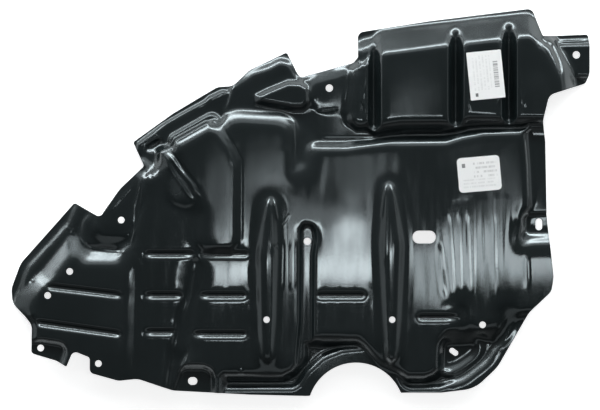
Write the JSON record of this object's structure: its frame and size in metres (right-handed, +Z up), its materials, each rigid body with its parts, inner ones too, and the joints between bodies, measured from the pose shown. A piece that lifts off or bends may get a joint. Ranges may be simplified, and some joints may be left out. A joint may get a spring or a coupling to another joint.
{
  "type": "engine splash shield",
  "caption": "Moulded black plastic sheet that closes off an engine bay from below, with stiffening steps, grooves, fins, an arched lower edge and clip holes.",
  "frame": {"origin": "middle of the trimmed outline, level with the lowest point of the underside", "axes": "+X along the shield towards the side tab, +Y towards the raised module, +Z up from the floor towards the side that the labels are on"},
  "size_m": [0.8685, 0.581, 0.043],
  "materials": {
    "black_plastic": "glossy moulded black polypropylene with slight waves",
    "label_paper": "matte white self-adhesive label paper"
  },
  "bodies": {
    "root": {"shield": "black_plastic", "upper_label": "label_paper", "lower_label": "label_paper"}
  },
  "joints": []
}
